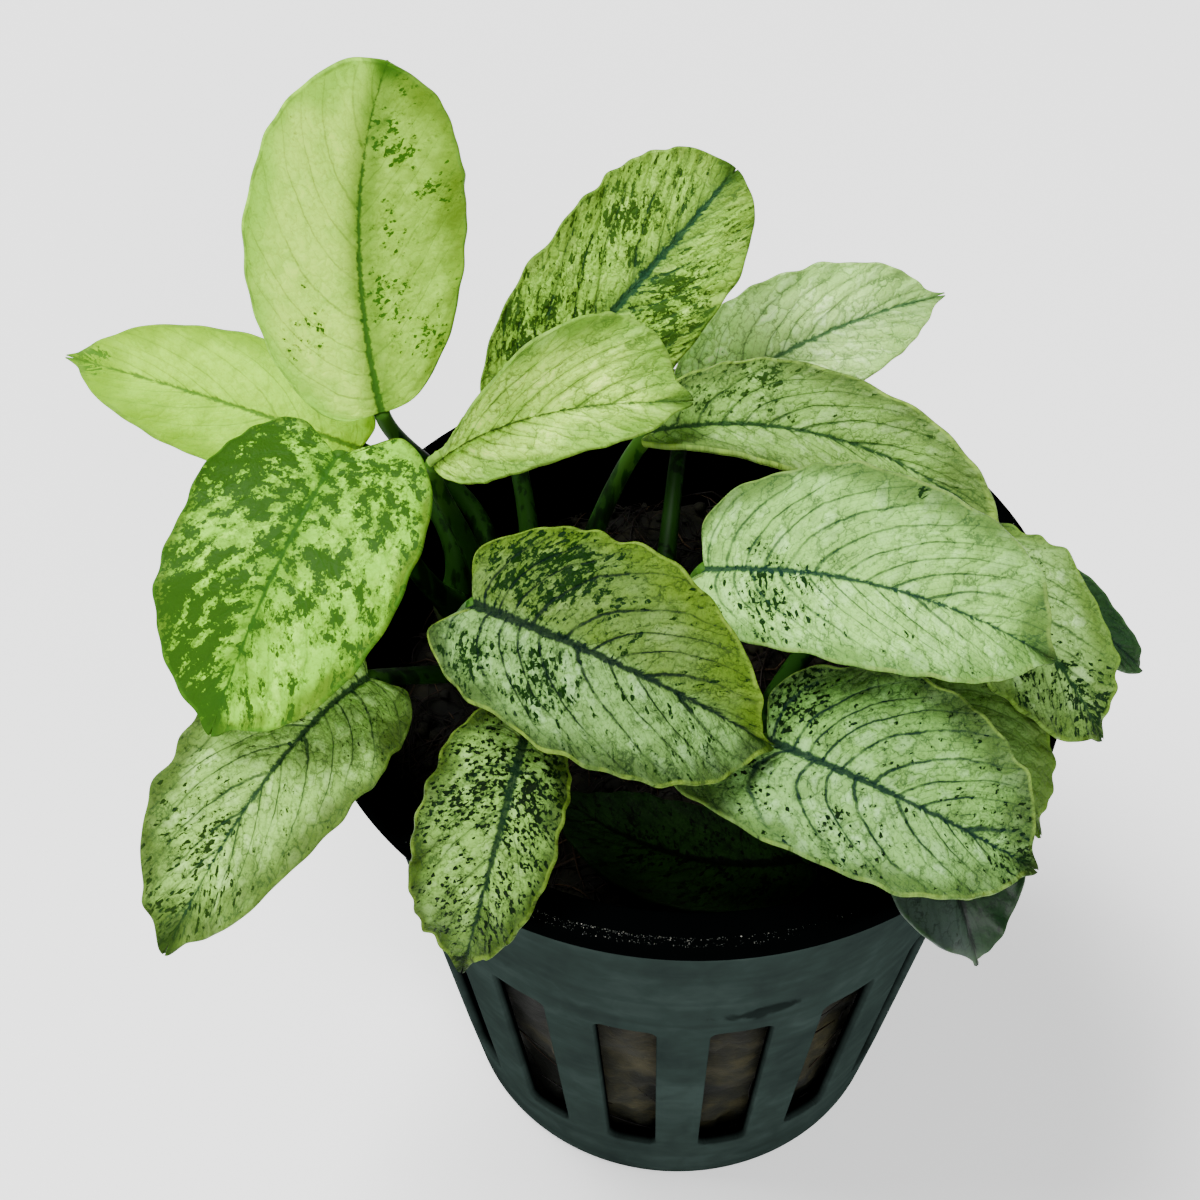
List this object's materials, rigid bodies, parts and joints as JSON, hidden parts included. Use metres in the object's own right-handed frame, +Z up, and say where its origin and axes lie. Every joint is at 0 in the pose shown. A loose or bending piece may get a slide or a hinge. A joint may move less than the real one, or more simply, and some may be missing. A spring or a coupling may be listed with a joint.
{
  "type": "potted aquarium plant",
  "caption": "Variegated broad-leaved aquarium plant with a creeping rhizome, standing in a slotted net pot of growing medium.",
  "frame": {"origin": "centre of the pot's flat underside", "axes": "+Z up, -Y towards the viewer of the picture, +X to that viewer's right"},
  "size_m": [0.081, 0.0554, 0.0843],
  "materials": {
    "pot_plastic": "smooth moulded black plastic, a soft sheen, with a little fine sand on the lip",
    "medium_fibre": "damp dark brown plant fibre, matt",
    "rhizome_skin": "green-brown ringed skin, satin",
    "stalk_skin": "smooth green stalk skin, satin",
    "yellow_green_blade": "leathery leaf, pale yellow-green with a few green flecks, satin",
    "pale_blade": "leathery leaf, pale grey-green with fine dark veins and flecks, satin",
    "marbled_blade": "leathery leaf, cream and green marbling, satin",
    "dark_blade": "leathery leaf, plain dark green, glossy"
  },
  "bodies": {
    "root": {"net_pot": "pot_plastic", "growing_medium": "medium_fibre", "rhizome": "rhizome_skin", "leaf_tall": "yellow_green_blade", "stem_tall": "stalk_skin", "leaf_far_left": "yellow_green_blade", "stem_far_left": "stalk_skin", "leaf_heart": "marbled_blade", "stem_heart": "stalk_skin", "leaf_low_left": "pale_blade", "stem_low_left": "stalk_skin", "leaf_over_rim": "marbled_blade", "stem_over_rim": "stalk_skin", "leaf_front": "marbled_blade", "stem_front": "stalk_skin", "leaf_low_right": "pale_blade", "stem_low_right": "stalk_skin", "leaf_pale": "pale_blade", "stem_pale": "stalk_skin", "leaf_folded": "pale_blade", "stem_folded": "stalk_skin", "leaf_twisted": "pale_blade", "stem_twisted": "stalk_skin", "leaf_back": "marbled_blade", "stem_back": "stalk_skin", "leaf_back_right": "pale_blade", "stem_back_right": "stalk_skin", "leaf_right": "marbled_blade", "stem_right": "stalk_skin", "leaf_under_right": "marbled_blade", "stem_under_right": "stalk_skin", "leaf_far_right": "dark_blade", "stem_far_right": "stalk_skin", "leaf_dark_hanging": "dark_blade", "stem_dark_hanging": "stalk_skin", "leaf_in_pot": "dark_blade", "stem_in_pot": "stalk_skin"}
  },
  "joints": []
}
